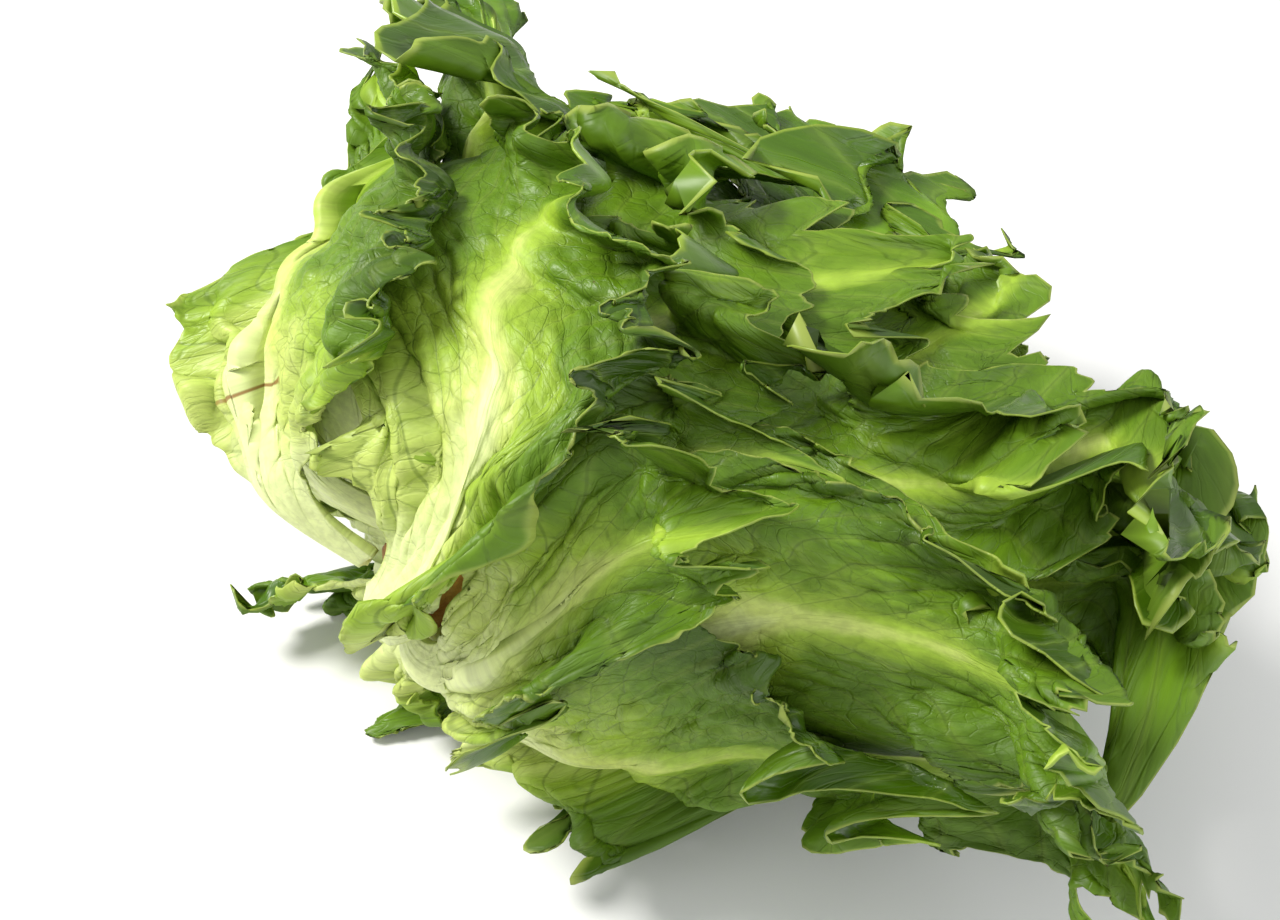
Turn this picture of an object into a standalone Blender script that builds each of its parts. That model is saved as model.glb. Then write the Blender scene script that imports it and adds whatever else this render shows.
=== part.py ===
"""Head of green leaf lettuce lying on its side: the cut stem and its leaves, one closed piece each."""
import math

import bmesh
import bpy
import numpy as np

NAME = "lettuce_head"

# Stem, in metres
STEM_RADIUS = 0.0152            # at the cut
STEM_CUT = 0.010                # where the stem is cut, from the head's own origin
STEM_LENGTH = 0.076             # the growing tip
STEM_CHAMFER = 0.0012           # worn rim of the cut
STEM_STEPS = 32                 # facets round the stem
FOOT_GAP = 0.0003               # between a leaf's foot and the stem

# Head
REACH = 0.236                   # length of the longest leaf line, foot to tip
OUTERMOST = 1.70                # layer number of the last line
ROOT_FRONT = -0.0076            # where that line starts
AXIS_HEIGHT = 0.060             # stem axis above the table
SIDE_SPREAD = 0.12              # leaves spread sideways under their weight
FAR_SIDE_SPREAD = 0.42          # and more so towards the tips on the far side
TOP_SAG = 0.50                  # and sag on top
TABLE_PRESS = 0.35              # how much closer to the axis the lower leaves run far from the cut
TABLE_DEPTH = 0.095             # the lower leaves flatten towards this depth below the axis
SKEW_SIDE = 0.46                # the far shoulder is pushed back, the near one forward
SKEW_SIDE_DEPTH = 0.080         # within this distance of the axis
SKEW_SIDE_FADE = 0.62           # and less so at the tips
SKEW_TALL = (0.10, 0.26)        # shoulders pushed forward above, and below
NEAR_SIDE_TUCK = 0.28           # the near side lies closer to the axis

# Leaves
BLADE = 0.0009                  # blade thickness
NEST_GAP = 0.0004               # between leaves near the stem
OPEN_GAP = 0.0025               # between leaves towards their tips
TIP_ROUNDING = 0.22             # how far the corners of a leaf lie behind its tip
TIP_NARROWING = 0.26
WRAP = 2.3                      # the most a half leaf wraps round the axis, in radians
INNER_LEAVES = 38
GOLDEN_TURN = 137.5

# Grid the leaves are laid on: along the leaf lines, and round the axis
LAY_ROWS, LAY_COLUMNS = 64, 180
LAY_END = 1.02
LINE_END = 1.05

# Outer leaves, in laying order: base and tip bearing, length, half widths, levels at root, foot, middle
# and tip, and thickness of the rib
OUTER_LEAVES = [
    ("outer_01", 75, 88, 0.200, 0.060, 0.070, (0.78, 0.78, 0.80, 0.90), 0.0022),
    ("outer_02", -178, -170, 0.165, 0.056, 0.060, (0.76, 0.76, 0.78, 0.86), 0.0022),
    ("outer_03", -124, -102, 0.198, 0.060, 0.046, (0.78, 0.76, 0.80, 0.90), 0.0026),
    ("outer_04", 132, 146, 0.172, 0.070, 0.060, (0.80, 0.78, 0.78, 0.88), 0.0022),
    ("outer_05", -84, -62, 0.206, 0.060, 0.062, (0.80, 0.78, 0.80, 0.92), 0.0026),
    ("outer_06", 30, 48, 0.188, 0.062, 0.058, (0.84, 0.84, 0.90, 1.02), 0.0026),
    ("outer_07", 82, 78, 0.186, 0.030, 0.074, (0.90, 0.90, 0.94, 1.10), 0.0032),
    ("outer_08", -138, -98, 0.160, 0.068, 0.046, (1.08, 0.86, 0.84, 0.92), 0.0054),
    ("outer_09", 158, 166, 0.130, 0.030, 0.046, (0.86, 0.84, 0.84, 0.88), 0.0026),
    ("outer_10", -102, -50, 0.138, 0.058, 0.044, (1.26, 1.04, 0.86, 0.90), 0.0070),
    ("outer_11", -48, 16, 0.172, 0.074, 0.072, (1.42, 1.16, 1.02, 1.04), 0.0076),
    ("outer_12", 58, 54, 0.168, 0.022, 0.082, (1.38, 1.08, 1.02, 1.08), 0.0066),
]
OUTER_FOOT, OUTER_RIB_WIDTH = 0.0100, 0.0095

# Mesh rows and columns of a leaf
OUTER_V = (0.0, 0.04, 0.09, 0.15, 0.22, 0.30, 0.38, 0.47, 0.56, 0.65, 0.74, 0.83, 0.92, 1.0)
OUTER_U = (-1.0, -0.85, -0.7, -0.53, -0.36, -0.18, 0.0, 0.18, 0.36, 0.53, 0.7, 0.85, 1.0)
INNER_V = (0.0, 0.06, 0.14, 0.24, 0.36, 0.49, 0.62, 0.75, 0.88, 1.0)
INNER_U = (-1.0, -0.76, -0.52, -0.27, 0.0, 0.27, 0.52, 0.76, 1.0)

COLOURS = {
    "stem_flesh": (0.62, 0.45, 0.22, 1.0),
    "outer_leaf": (0.24, 0.42, 0.06, 1.0),
    "inner_leaf": (0.42, 0.58, 0.12, 1.0),
}


def smooth(t):
    t = np.clip(t, 0.0, 1.0)
    return t * t * (3.0 - 2.0 * t)


def soft_over(value, softness):
    """The value where positive, easing to zero below."""
    return np.logaddexp(0.0, value / softness) * softness


# ------------------------------------------------------------------ the head's layers

def stem_radius(x):
    return STEM_RADIUS * (1.0 - 0.78 * np.clip(x / STEM_LENGTH, 0.0, 1.0) ** 1.4)


def lean(s, h):
    """Angle from the axis at which the line of layer h runs, at share s of the reach."""
    root = 134.0 * (1.0 - np.exp(-h / 0.42))
    middle = 25.0 * h
    flare = 34.0 * h ** 1.1
    turn = np.exp(-(s / (0.10 + 0.12 * h)) ** 1.5)
    return np.radians(middle + (root - middle) * turn + flare * smooth((s - 0.35) / 0.65))


def leaf_lines(rows=361, columns=136):
    """x along the axis and r from it, for every share s of the reach and layer h."""
    s = np.linspace(0.0, LINE_END, rows)[:, None]
    h = np.linspace(0.0, OUTERMOST, columns)[None, :]
    angle = lean(s, h)
    step = REACH * LINE_END / (rows - 1)
    root_x = ROOT_FRONT + (STEM_LENGTH - 0.002 - ROOT_FRONT) * (1.0 - h / OUTERMOST)
    root_r = stem_radius(root_x) + FOOT_GAP

    def run(rate):
        total = np.cumsum((rate[1:] + rate[:-1]) * 0.5 * step, axis=0)
        return np.vstack([np.zeros((1, columns)), total])

    return root_x + run(np.cos(angle)), root_r + run(np.sin(angle))


LINE_X, LINE_R = leaf_lines()


def sample(table, row, column, wrap=False):
    """The table between its entries; columns may run round."""
    rows, columns = table.shape
    row = np.clip(row, 0.0, rows - 1.000001)
    column = np.mod(column, columns) if wrap else np.clip(column, 0.0, columns - 1.000001)
    r0 = np.floor(row).astype(int)
    c0 = np.floor(column).astype(int)
    c1 = (c0 + 1) % columns
    fr, fc = row - r0, column - c0
    near = table[r0, c0] * (1.0 - fc) + table[r0, c1] * fc
    far = table[r0 + 1, c0] * (1.0 - fc) + table[r0 + 1, c1] * fc
    return near * (1.0 - fr) + far * fr


def line_point(s, h):
    row = s / LINE_END * (LINE_X.shape[0] - 1)
    column = h / OUTERMOST * (LINE_X.shape[1] - 1)
    return sample(LINE_X, row, column), sample(LINE_R, row, column)


def folds(s, theta, h):
    """Waves that neighbouring leaves share, in layer numbers."""
    size = 0.046 * smooth((s - 0.25) / 0.6) * np.minimum(1.0, h / 0.35)
    wave = np.sin(5 * theta + 6 * s + 2.5 * h + 0.4)
    wave = wave + 0.7 * np.sin(8 * theta - 9 * s + 4.0 * h + 2.0)
    return size * (wave + 0.3 * np.sin(13 * theta + 14 * s - 5.0 * h + 4.1))


def place(s, theta, h):
    """A point of the lying head, in metres: x along its axis, z up from the table."""
    h = np.maximum(h + folds(s, theta, h), 0.0)
    x, r = line_point(s, h)
    far = smooth((x - 0.005) / 0.15) * smooth((r - 0.012) / 0.060)
    top = 1.0 - TOP_SAG * far
    bottom = 1.0 - TABLE_PRESS * far
    up = np.cos(theta)
    tall = 0.5 * (top + bottom) + 0.5 * (top - bottom) * np.tanh(2.2 * up)
    spread = SIDE_SPREAD + FAR_SIDE_SPREAD * smooth((x - 0.03) / 0.12) * smooth(np.sin(theta) / 0.6)
    y = r * np.sin(theta) * (1.0 + spread * far)
    z = r * up * tall
    below = np.maximum(-z - STEM_RADIUS, 0.0)
    room = TABLE_DEPTH - STEM_RADIUS
    pressed = STEM_RADIUS + room * (1.0 - np.exp(-below / room))
    z = np.where(below > 0.0, -pressed, z)
    clear = smooth((r - 0.012) / 0.030)
    skew = np.where(z > 0.0, SKEW_TALL[0], SKEW_TALL[1])
    sheared = SKEW_SIDE * (1.0 - SKEW_SIDE_FADE * smooth((x - 0.03) / 0.12))
    sheared = sheared * np.where(y > 0.0, 0.30 + 0.70 * smooth((z + 0.035) / 0.06), 1.0)
    y = y * (1.0 - NEAR_SIDE_TUCK * (1.0 - smooth((x - 0.05) / 0.10)) * smooth((-y - 0.017) / 0.03))
    forward = skew * (np.sqrt(z * z + 0.0004) - 0.02) - sheared * SKEW_SIDE_DEPTH * np.tanh(y / SKEW_SIDE_DEPTH)
    x = x + clear * forward
    return np.stack([x, y, z + AXIS_HEIGHT], axis=-1)


def layer_scale(s, theta, h):
    """Metres from layer to layer, measured square to them, per layer number."""
    e = 1e-3
    low = np.maximum(h - e, 0.0)
    out = (place(s, theta, h + e) - place(s, theta, low)) / (h + e - low)[..., None]
    along = place(s + e, theta, h) - place(s - e, theta, h)
    across = place(s, theta + e, h) - place(s, theta - e, h)
    normal = np.cross(along, across)
    normal = normal / np.maximum(np.linalg.norm(normal, axis=-1, keepdims=True), 1e-12)
    return np.maximum(np.abs((out * normal).sum(-1)), 0.01)


# ------------------------------------------------------------------ leaves

class Leaf:
    """A leaf on the layers: bearing round the axis, length, half widths and the level it lies at."""

    def __init__(self, name, bearing, tip_bearing, length, plus, minus, levels, foot, rib, rib_width):
        self.name = name
        self.bearing = math.radians(bearing)
        self.sweep = math.radians(tip_bearing - bearing)
        self.length = length / REACH
        self.plus, self.minus = plus, minus
        self.levels = levels
        self.foot, self.rib, self.rib_width = foot, rib, rib_width
        self.layer = None

    def half_width(self, v, side):
        widest = np.where(side < 0, self.minus, self.plus)
        opened = self.foot + (widest - self.foot) * smooth((v - 0.06) / 0.56)
        return opened - TIP_NARROWING * widest * smooth((v - 0.62) / 0.44)

    def middle(self, s):
        return self.bearing + self.sweep * smooth(s / (0.75 * self.length))

    def level(self, s, theta):
        row = s / LAY_END * (LAY_ROWS - 1)
        column = np.mod(theta, 2 * math.pi) / (2 * math.pi) * LAY_COLUMNS
        return sample(self.layer, row, column, wrap=True)

    def axis_distance(self, s):
        return np.maximum(line_point(s, self.level(s, self.middle(s)))[1], 0.008)

    def locate(self, u, v):
        """Share s and bearing of a leaf point: u from -1 to 1 across, v from 0 to 1 along."""
        s = self.length * (v - TIP_ROUNDING * u * u * v * v)
        lateral = self.half_width(v, u) * u
        angle = WRAP * np.tanh(lateral / self.axis_distance(s) / WRAP)
        return s, self.middle(s) + angle, lateral

    def thickness(self, v, lateral):
        rib = self.rib * (1.0 - v) ** 1.2 + 0.0003
        width = self.rib_width * (1.0 - 0.75 * v)
        return BLADE + rib * np.exp(-(lateral / width) ** 2)


def spread_max(field, rows, columns):
    """The greatest value within so many rows and columns."""
    out = field.copy()
    for shift in range(-columns, columns + 1):
        out = np.maximum(out, np.roll(field, shift, axis=1))
    field = out.copy()
    for shift in range(1, rows + 1):
        out[shift:] = np.maximum(out[shift:], field[:-shift])
        out[:-shift] = np.maximum(out[:-shift], field[shift:])
    return out


def blur(field, rows, columns):
    """A soft average over so many rows and columns."""
    across = np.hanning(2 * columns + 3)[1:-1]
    along = np.hanning(2 * rows + 3)[1:-1]
    out = sum(w * np.roll(field, i - columns, axis=1) for i, w in enumerate(across)) / across.sum()
    padded = np.vstack([np.repeat(out[:1], rows, 0), out, np.repeat(out[-1:], rows, 0)])
    return sum(w * padded[i:i + field.shape[0]] for i, w in enumerate(along)) / along.sum()


def covered_by(leaf, s, theta):
    """Leaf coordinates of the laying grid and which of its cells the leaf covers."""
    turn = np.mod(theta - leaf.middle(s) + math.pi, 2 * math.pi) - math.pi
    lateral = turn * leaf.axis_distance(s)
    v = np.clip(s / leaf.length, 0.0, 1.0)
    for _ in range(4):
        u = np.clip(lateral / leaf.half_width(v, lateral), -1.2, 1.2)
        v = np.clip(s / leaf.length + TIP_ROUNDING * u * u * v * v, 0.0, 1.3)
    u = lateral / leaf.half_width(np.clip(v, 0.0, 1.0), lateral)
    return lateral, v, (np.abs(u) < 1.06) & (v < 1.03)


def lay(leaves):
    """Lays each leaf over those inside it, heart first, and records its layer."""
    s = np.linspace(0.0, LAY_END, LAY_ROWS)[:, None] * np.ones((1, LAY_COLUMNS))
    theta = np.linspace(0.0, 2 * math.pi, LAY_COLUMNS, endpoint=False)[None, :] * np.ones((LAY_ROWS, 1))
    heap = np.full(s.shape, 0.012)
    for leaf in leaves:
        under = np.maximum(blur(spread_max(heap, 3, 7), 6, 12), heap)
        gap = NEST_GAP + (OPEN_GAP - NEST_GAP) * smooth(s / 0.35)
        floor = under + gap / layer_scale(s, theta, under)
        root, low, mid, high = leaf.levels
        want = low + (mid - low) * smooth((s - 0.05) / 0.35) + (high - mid) * smooth((s - 0.4) / 0.5)
        layer = floor + soft_over(want - floor, 0.02)
        begin = np.maximum(floor, root)
        leaf.layer = np.where(s < 0.24, begin + (layer - begin) * smooth(s / 0.24), layer)
        lateral, v, covered = covered_by(leaf, s, theta)
        thick = leaf.thickness(np.clip(v, 0.0, 1.0), lateral)
        top = leaf.layer + thick / layer_scale(s, theta, leaf.layer)
        heap = np.where(covered, np.maximum(heap, top), heap)
    return leaves


def head_leaves():
    """The leaves from the heart outwards: the inner ones follow the golden turn."""
    leaves = []
    for i in range(INNER_LEAVES):
        t = i / (INNER_LEAVES - 1)
        bearing = 40.0 + GOLDEN_TURN * i
        sweep = 14.0 + 10.0 * math.sin(2.1 * i)
        half = 0.028 + 0.032 * t ** 0.7
        level = 0.02 + 0.66 * t
        length = 0.130 + 0.056 * smooth(t / 0.4) - 0.042 * smooth((t - 0.35) / 0.65) + 0.012 * math.sin(1.7 * i)
        levels = (0.0, level, level + 0.04 * t, level + 0.10 * t)
        leaves.append(Leaf(f"inner_{i + 1:02d}", bearing, bearing + sweep, length,
                           half, half, levels, 0.0040 + 0.0050 * t, 0.0002 + 0.0010 * t, 0.004 + 0.004 * t))
    for name, bearing, tip, length, plus, minus, levels, rib in OUTER_LEAVES:
        leaves.append(Leaf(name, bearing, tip, length, plus, minus, levels, OUTER_FOOT, rib, OUTER_RIB_WIDTH))
    return lay(leaves)


# ------------------------------------------------------------------ Blender objects

def clear_scene():
    for item in list(bpy.data.objects):
        bpy.data.objects.remove(item, do_unlink=True)


def make_material(name, colour, roughness):
    material = bpy.data.materials.new(name)
    material.use_nodes = True
    shader = material.node_tree.nodes["Principled BSDF"]
    shader.inputs["Base Color"].default_value = colour
    shader.inputs["Roughness"].default_value = roughness
    material.diffuse_color = colour
    return material


def add_object(name, mesh, material, collection):
    mesh.materials.append(material)
    item = bpy.data.objects.new(name, mesh)
    collection.objects.link(item)
    return item


def make_stem(material, collection):
    """The stem: a turned profile, the cut face first, laid along +X."""
    xs = np.linspace(STEM_CUT + STEM_CHAMFER, STEM_LENGTH, 9)
    profile = [(0.0, STEM_CUT), (float(stem_radius(STEM_CUT)) - STEM_CHAMFER, STEM_CUT)]
    profile += [(float(stem_radius(x)) * (1.0 if x < STEM_LENGTH else 0.6), float(x)) for x in xs]
    profile += [(0.0, STEM_LENGTH + 0.0015)]
    data = bmesh.new()
    verts = [data.verts.new((r, 0.0, x)) for r, x in reversed(profile)]
    for a, b in zip(verts, verts[1:]):
        data.edges.new((a, b))
    mesh = bpy.data.meshes.new("stem")
    data.to_mesh(mesh)
    data.free()
    item = add_object("stem", mesh, material, collection)
    screw = item.modifiers.new("turn", "SCREW")
    screw.axis = "Z"
    screw.steps = STEM_STEPS
    screw.render_steps = STEM_STEPS
    screw.use_merge_vertices = True
    screw.merge_threshold = 0.00005
    item.rotation_euler = (0.0, math.pi / 2, 0.0)
    return item


def make_leaf(leaf, material, collection):
    """One leaf: a grid laid on its layer as the inner face, then extruded outwards by its thickness."""
    outer = leaf.name.startswith("outer")
    us = np.array(OUTER_U if outer else INNER_U)
    vs = np.array(OUTER_V if outer else INNER_V)
    data = bmesh.new()
    bmesh.ops.create_grid(data, x_segments=len(us) - 1, y_segments=len(vs) - 1, size=1.0)
    bmesh.ops.triangulate(data, faces=data.faces[:], quad_method="FIXED")
    flat = np.array([vert.co[:] for vert in data.verts])
    u = np.interp(flat[:, 0], np.linspace(-1.0, 1.0, len(us)), us)
    v = np.interp(flat[:, 1], np.linspace(-1.0, 1.0, len(vs)), vs)
    s, theta, lateral = leaf.locate(u, v)
    level = leaf.level(s, theta)
    thick = leaf.thickness(v, lateral)
    inner = place(s, theta, level)
    footing = place(s, theta, level + thick / layer_scale(s, theta, level)) - inner
    number = data.verts.layers.int.new("number")
    for index, vert in enumerate(data.verts):
        vert.co = inner[index]
        vert[number] = index
    data.normal_update()
    normal = np.array([vert.normal[:] for vert in data.verts])
    side = np.sign((normal * footing).sum(-1, keepdims=True))
    clear = smooth(v / 0.10)[:, None]
    offset = footing * (1.0 - clear) + normal * side * thick[:, None] * clear
    slab = bmesh.ops.extrude_face_region(data, geom=data.faces[:], use_keep_orig=True)
    for vert in (item for item in slab["geom"] if isinstance(item, bmesh.types.BMVert)):
        vert.co = inner[vert[number]] + offset[vert[number]]
    bmesh.ops.recalc_face_normals(data, faces=data.faces[:])
    if data.calc_volume(signed=True) < 0.0:
        bmesh.ops.reverse_faces(data, faces=data.faces[:])
    mesh = bpy.data.meshes.new(leaf.name)
    data.to_mesh(mesh)
    data.free()
    return add_object(leaf.name, mesh, material, collection)


def centre(objects):
    """Moves the whole head so that its box stands over the origin, its lowest point on the table."""
    bpy.context.view_layer.update()
    graph = bpy.context.evaluated_depsgraph_get()
    corners = []
    for item in objects:
        shape = item.evaluated_get(graph)
        mesh = shape.to_mesh()
        corners += [item.matrix_world @ vert.co for vert in mesh.vertices]
        shape.to_mesh_clear()
    low = [min(c[k] for c in corners) for k in range(3)]
    high = [max(c[k] for c in corners) for k in range(3)]
    move = (-0.5 * (low[0] + high[0]), -0.5 * (low[1] + high[1]), -low[2])
    for item in objects:
        item.location = [item.location[k] + move[k] for k in range(3)]


def main():
    clear_scene()
    collection = bpy.data.collections.new(NAME)
    bpy.context.scene.collection.children.link(collection)
    stem_flesh = make_material("stem_flesh", COLOURS["stem_flesh"], 0.6)
    outer_leaf = make_material("outer_leaf", COLOURS["outer_leaf"], 0.45)
    inner_leaf = make_material("inner_leaf", COLOURS["inner_leaf"], 0.45)
    stem = make_stem(stem_flesh, collection)
    stem.location = (0.0, 0.0, AXIS_HEIGHT)
    objects = [stem]
    for leaf in head_leaves():
        material = outer_leaf if leaf.name.startswith("outer") else inner_leaf
        objects.append(make_leaf(leaf, material, collection))
    centre(objects)


main()
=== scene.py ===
"""Head of green leaf lettuce on its side: fine leaves laid on the same layers as the CAD leaves."""
import math

import bpy
import numpy as np
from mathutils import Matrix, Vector


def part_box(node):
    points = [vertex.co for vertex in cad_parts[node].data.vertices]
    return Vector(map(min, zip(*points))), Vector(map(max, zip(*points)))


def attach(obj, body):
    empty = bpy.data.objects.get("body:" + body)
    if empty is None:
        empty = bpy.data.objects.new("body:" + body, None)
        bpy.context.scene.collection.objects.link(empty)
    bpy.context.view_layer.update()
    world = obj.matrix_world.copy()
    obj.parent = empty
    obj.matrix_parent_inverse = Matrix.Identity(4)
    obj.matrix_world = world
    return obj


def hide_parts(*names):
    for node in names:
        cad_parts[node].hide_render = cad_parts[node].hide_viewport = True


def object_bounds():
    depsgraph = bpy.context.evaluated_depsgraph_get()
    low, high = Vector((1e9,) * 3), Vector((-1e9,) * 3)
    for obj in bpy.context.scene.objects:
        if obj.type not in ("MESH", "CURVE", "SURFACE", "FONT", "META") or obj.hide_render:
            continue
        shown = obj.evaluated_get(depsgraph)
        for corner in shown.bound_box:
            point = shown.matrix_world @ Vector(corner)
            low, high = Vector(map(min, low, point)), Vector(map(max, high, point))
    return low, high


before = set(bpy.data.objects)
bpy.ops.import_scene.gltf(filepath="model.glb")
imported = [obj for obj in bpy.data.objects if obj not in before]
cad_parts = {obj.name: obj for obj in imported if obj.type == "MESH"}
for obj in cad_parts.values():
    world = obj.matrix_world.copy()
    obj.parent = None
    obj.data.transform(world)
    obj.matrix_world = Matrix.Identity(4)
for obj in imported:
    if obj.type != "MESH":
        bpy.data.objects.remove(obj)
cad_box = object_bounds()

# ------------------------------------------------------------------ the head's layers, as in the CAD

STEM_RADIUS = 0.0152            # at the cut
STEM_LENGTH = 0.076             # the growing tip
STEM_CUT = 0.010                # where the stem is cut, from the head's own origin
FOOT_GAP = 0.0003               # between a leaf's foot and the stem
REACH = 0.236                   # length of the longest leaf line, foot to tip
OUTERMOST = 1.70                # layer number of the last line
ROOT_FRONT = -0.0076            # where that line starts
AXIS_HEIGHT = 0.060             # stem axis above the table
SIDE_SPREAD = 0.12              # leaves spread sideways under their weight
FAR_SIDE_SPREAD = 0.42          # and more so towards the tips on the far side
TOP_SAG = 0.50                  # and sag on top
TABLE_PRESS = 0.35              # how much closer to the axis the lower leaves run far from the cut
TABLE_DEPTH = 0.095             # the lower leaves flatten towards this depth below the axis
SKEW_SIDE = 0.46                # the far shoulder is pushed back, the near one forward
SKEW_SIDE_DEPTH = 0.080         # within this distance of the axis
SKEW_SIDE_FADE = 0.62           # and less so at the tips
NEAR_SIDE_TUCK = 0.28           # the near side lies closer to the axis
SKEW_TALL = (0.10, 0.26)        # shoulders pushed forward above, and below
BLADE = 0.0009                  # blade thickness of the CAD leaves
NEST_GAP = 0.0004               # between leaves near the stem
OPEN_GAP = 0.0025               # between leaves towards their tips
TIP_ROUNDING = 0.22             # how far the corners of a leaf lie behind its tip
TIP_NARROWING = 0.26            # how much narrower the tip is
WRAP = 2.3                      # the most a half leaf wraps round the axis, in radians
INNER_LEAVES = 38
GOLDEN_TURN = 137.5
LAY_ROWS, LAY_COLUMNS = 64, 180 # grid the leaves are laid on: along the leaf lines, and round the axis
LAY_END = 1.02
LINE_END = 1.05
# Outer leaves, in laying order: base and tip bearing, length, half widths, levels at root, foot, middle
# and tip, and thickness of the rib
OUTER_LEAVES = [
    ("outer_01", 75, 88, 0.200, 0.060, 0.070, (0.78, 0.78, 0.80, 0.90), 0.0022),
    ("outer_02", -178, -170, 0.165, 0.056, 0.060, (0.76, 0.76, 0.78, 0.86), 0.0022),
    ("outer_03", -124, -102, 0.198, 0.060, 0.046, (0.78, 0.76, 0.80, 0.90), 0.0026),
    ("outer_04", 132, 146, 0.172, 0.070, 0.060, (0.80, 0.78, 0.78, 0.88), 0.0022),
    ("outer_05", -84, -62, 0.206, 0.060, 0.062, (0.80, 0.78, 0.80, 0.92), 0.0026),
    ("outer_06", 30, 48, 0.188, 0.062, 0.058, (0.84, 0.84, 0.90, 1.02), 0.0026),
    ("outer_07", 82, 78, 0.186, 0.030, 0.074, (0.90, 0.90, 0.94, 1.10), 0.0032),
    ("outer_08", -138, -98, 0.160, 0.068, 0.046, (1.08, 0.86, 0.84, 0.92), 0.0054),
    ("outer_09", 158, 166, 0.130, 0.030, 0.046, (0.86, 0.84, 0.84, 0.88), 0.0026),
    ("outer_10", -102, -50, 0.138, 0.058, 0.044, (1.26, 1.04, 0.86, 0.90), 0.0070),
    ("outer_11", -48, 16, 0.172, 0.074, 0.072, (1.42, 1.16, 1.02, 1.04), 0.0076),
    ("outer_12", 58, 54, 0.168, 0.022, 0.082, (1.38, 1.08, 1.02, 1.08), 0.0066),
]
OUTER_FOOT, OUTER_RIB_WIDTH = 0.0100, 0.0095

# ------------------------------------------------------------------ looks of the fine leaves

SKIN = 0.00050                  # blade thickness of the fine leaves
VEIN_STEP = 0.0125              # distance between side veins
CREASE = 0.0011                 # how far the blade puffs up between them
# ruffles of the margin: height, wave length, and how far they reach in from the edge
WIDE_RUFFLE = (0.0180, 0.034, 0.050)
MID_RUFFLE = (0.0060, 0.0130, 0.018)
SMALL_RUFFLE = (0.0018, 0.0075, 0.0075)
CURL_REACH, CURL_RADIUS = 0.019, 0.0085     # margins that roll outwards
HIDDEN_LEAVES = 12              # the innermost leaves get a coarser grid
OUTER_GRID = (161, 181)         # columns and rows of the fine leaves
INNER_GRID = (121, 151)
HIDDEN_GRID = (61, 81)
LEAF_APART = 0.13               # step in the texture space from one leaf to the next
BOX_ROOM = np.array([0.012, 0.016, 0.010])  # how far ruffles may pass the head's box
ABOVE_TABLE = 0.0008            # the lowest that a fine leaf's upper face lies
BROWN_CREASE_AT = 0.056         # from the foot of the outermost leaf, across its rib
CREASE_WANDER = 0.0030
CREASED_LEAF = LEAF_APART * 48.5    # leaves past this place in the texture space have the crease
PALE_VEIN = (196, 216, 104)
SPECK = (92, 66, 20)
CREASE_BROWN = (140, 88, 30)
THROUGH_LEAF = (215, 240, 60)   # tint of light that passes through a leaf

CAMERA_AZIMUTH, CAMERA_ELEVATION = -24.0, 50.0
CAMERA_LENS = 60.0
METRES_ACROSS = 0.3584          # width of the view at the stem
STEM_IN_VIEW = (-0.0773, -0.0403)   # where the stem's cut stands, right of and above the view's middle


def smooth(t):
    """Eases from 0 to 1 as t does."""
    t = np.clip(t, 0.0, 1.0)
    return t * t * (3.0 - 2.0 * t)


def soft_over(value, softness):
    """The value where it is above 0, else 0, with a soft turn between."""
    return np.logaddexp(0.0, value / softness) * softness


def stem_radius(x):
    """Radius of the stem at x, which tapers to the growing tip."""
    return STEM_RADIUS * (1.0 - 0.78 * np.clip(x / STEM_LENGTH, 0.0, 1.0) ** 1.4)


def lean(s, h):
    """Angle from the axis at which the line of layer h runs, at share s of the reach."""
    root = 134.0 * (1.0 - np.exp(-h / 0.42))
    middle = 25.0 * h
    flare = 34.0 * h ** 1.1
    turn = np.exp(-(s / (0.10 + 0.12 * h)) ** 1.5)
    return np.radians(middle + (root - middle) * turn + flare * smooth((s - 0.35) / 0.65))


def leaf_lines(rows=361, columns=136):
    """x along the axis and r from it, for every share s of the reach and layer h."""
    s = np.linspace(0.0, LINE_END, rows)[:, None]
    h = np.linspace(0.0, OUTERMOST, columns)[None, :]
    angle = lean(s, h)
    step = REACH * LINE_END / (rows - 1)
    root_x = ROOT_FRONT + (STEM_LENGTH - 0.002 - ROOT_FRONT) * (1.0 - h / OUTERMOST)
    root_r = stem_radius(root_x) + FOOT_GAP

    def run(rate):
        total = np.cumsum((rate[1:] + rate[:-1]) * 0.5 * step, axis=0)
        return np.vstack([np.zeros((1, columns)), total])

    return root_x + run(np.cos(angle)), root_r + run(np.sin(angle))


LINE_X, LINE_R = leaf_lines()


def spline_weights(t):
    """Cubic B-spline weights of the four entries round a place."""
    return ((1 - t) ** 3 / 6, (3 * t ** 3 - 6 * t ** 2 + 4) / 6,
            (-3 * t ** 3 + 3 * t ** 2 + 3 * t + 1) / 6, t ** 3 / 6)


def sample(table, row, column, wrap=False):
    """The table between its entries; columns may run round."""
    rows, columns = table.shape
    row = np.clip(row, 0.0, rows - 1.000001)
    column = np.mod(column, columns) if wrap else np.clip(column, 0.0, columns - 1.000001)
    r0 = np.floor(row).astype(int)
    c0 = np.floor(column).astype(int)
    if not wrap:
        fr, fc = row - r0, column - c0
        near = table[r0, c0] * (1.0 - fc) + table[r0, c0 + 1] * fc
        far = table[r0 + 1, c0] * (1.0 - fc) + table[r0 + 1, c0 + 1] * fc
        return near * (1.0 - fr) + far * fr
    total = 0.0
    across = spline_weights(column - c0)
    for i, wr in enumerate(spline_weights(row - r0)):
        r = np.clip(r0 + i - 1, 0, rows - 1)
        for j, wc in enumerate(across):
            total = total + wr * wc * table[r, (c0 + j - 1) % columns]
    return total


def line_point(s, h):
    row = s / LINE_END * (LINE_X.shape[0] - 1)
    column = h / OUTERMOST * (LINE_X.shape[1] - 1)
    return sample(LINE_X, row, column), sample(LINE_R, row, column)


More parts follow.
